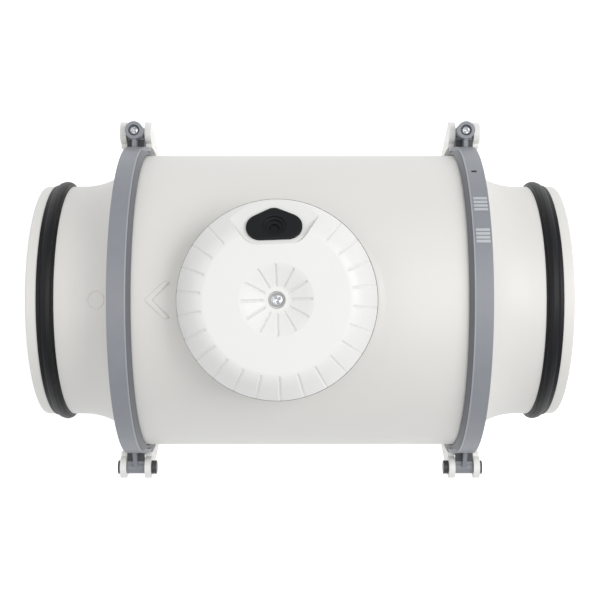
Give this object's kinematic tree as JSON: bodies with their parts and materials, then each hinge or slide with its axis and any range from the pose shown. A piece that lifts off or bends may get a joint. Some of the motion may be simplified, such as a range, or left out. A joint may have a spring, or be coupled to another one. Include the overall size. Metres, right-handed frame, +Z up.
{
  "type": "inline duct fan",
  "caption": "Inline duct fan: round casing between two sealed spigots, hinged clamps on a bracket, round terminal box with slanting cable entry.",
  "frame": {"origin": "centre of the bracket's footprint, on its underside, below the middle of the duct axis", "axes": "+X along the duct towards the inlet end, +Y towards the clamp screws, +Z up through the terminal cover"},
  "size_m": [0.327, 0.233, 0.2354],
  "materials": {
    "white_plastic": "moulded ABS, fine satin texture, warm white",
    "grey_plastic": "moulded glass-filled nylon, satin mid grey",
    "dark_grey_plastic": "moulded nylon, dark grey",
    "grey_moulding": "moulded plastic, satin light grey",
    "black_rubber": "moulded EPDM rubber, soft sheen",
    "zinc_plated_steel": "bright zinc plated",
    "bearing_steel": "ground steel",
    "electrical_steel": "laminated, oxide coated",
    "die_cast_aluminium": "die cast, bead blasted",
    "copper_wire": "enamelled copper winding",
    "natural_nylon": "natural nylon",
    "brass_screws": "plain brass",
    "capacitor_case": "smooth moulded case"
  },
  "bodies": {
    "frame": {"outlet_spigot": "white_plastic", "inlet_spigot": "white_plastic", "body_casing": "white_plastic", "outlet_lip_seal": "black_rubber", "inlet_lip_seal": "black_rubber", "outlet_gasket": "black_rubber", "inlet_gasket": "black_rubber", "inlet_cone": "white_plastic", "guide_vane_carrier": "grey_moulding", "tail_cone": "grey_moulding", "motor_housing": "die_cast_aluminium", "motor_end_shield": "die_cast_aluminium", "motor_screws": "zinc_plated_steel", "front_bearing": "bearing_steel", "rear_bearing": "bearing_steel", "stator_core": "electrical_steel", "stator_windings": "copper_wire", "mounting_bracket": "white_plastic", "outlet_clamp_rear": "grey_plastic", "inlet_clamp_rear": "grey_plastic", "outlet_hinge_pin": "dark_grey_plastic", "inlet_hinge_pin": "dark_grey_plastic", "clamp_nuts": "zinc_plated_steel", "terminal_block": "natural_nylon", "terminal_screws": "brass_screws", "capacitor": "capacitor_case", "cord_strap": "grey_moulding", "strap_screws": "zinc_plated_steel", "cover_gasket": "black_rubber"},
    "impeller_assembly": {"impeller": "grey_moulding", "motor_shaft": "bearing_steel", "motor_rotor": "electrical_steel", "impeller_nut": "zinc_plated_steel"},
    "outlet_clamp": {"outlet_clamp_front": "grey_plastic"},
    "inlet_clamp": {"inlet_clamp_front": "grey_plastic"},
    "outlet_screw": {"outlet_clamp_screw": "zinc_plated_steel"},
    "inlet_screw": {"inlet_clamp_screw": "zinc_plated_steel"},
    "cover": {"terminal_cover": "white_plastic", "cable_grommet": "black_rubber"},
    "cover_fastener": {"cover_screw": "zinc_plated_steel"}
  },
  "joints": [
    {"name": "impeller_spin", "type": "hinge", "parent": "frame", "child": "impeller_assembly", "pos_m": [0, 0, 0.114], "axis": [1, 0, 0], "continuous": true},
    {"name": "outlet_clamp_hinge", "type": "hinge", "parent": "frame", "child": "outlet_clamp", "pos_m": [-0.1071, -0.1095, 0.114], "axis": [1, 0, 0], "range_deg": [0, 110]},
    {"name": "inlet_clamp_hinge", "type": "hinge", "parent": "frame", "child": "inlet_clamp", "pos_m": [0.1071, -0.1095, 0.114], "axis": [1, 0, 0], "range_deg": [0, 110]},
    {"name": "outlet_screw_travel", "type": "slide", "parent": "outlet_clamp", "child": "outlet_screw", "axis": [0, 0, 1], "range_m": [0, 0.007]},
    {"name": "inlet_screw_travel", "type": "slide", "parent": "inlet_clamp", "child": "inlet_screw", "axis": [0, 0, 1], "range_m": [0, 0.007]},
    {"name": "cover_lift", "type": "slide", "parent": "frame", "child": "cover", "axis": [0, 0, 1], "range_m": [0, 0.06]},
    {"name": "cover_screw_travel", "type": "slide", "parent": "cover", "child": "cover_fastener", "axis": [0, 0, 1], "range_m": [0, 0.012]}
  ]
}
